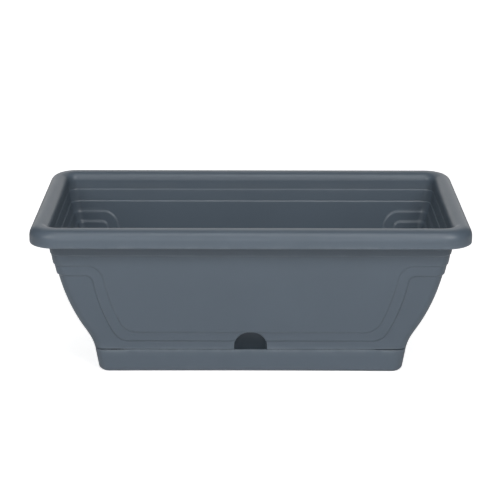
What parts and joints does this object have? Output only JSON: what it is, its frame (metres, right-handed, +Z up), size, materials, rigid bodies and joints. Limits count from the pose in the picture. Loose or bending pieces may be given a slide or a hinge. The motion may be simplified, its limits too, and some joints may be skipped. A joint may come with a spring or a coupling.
{
  "type": "window box planter",
  "caption": "Low rectangular window box planter with a rolled rim, flared ends and a watering mouth, standing in a drip tray.",
  "frame": {"origin": "centre of the tray's underside, on the surface the planter stands on", "axes": "+X along the planter's length, +Y to its back, so the watering mouth faces -Y, and +Z up"},
  "size_m": [0.4, 0.22, 0.15],
  "materials": {
    "box_plastic": "satin moulded slate grey",
    "tray_plastic": "satin moulded slate grey"
  },
  "bodies": {
    "tray": {"drip_tray": "tray_plastic"},
    "box": {"planter_box": "box_plastic"}
  },
  "joints": [
    {"name": "box_lift", "type": "slide", "parent": "tray", "child": "box", "axis": [0, 0, 1], "range_m": [0, 0.08]}
  ]
}
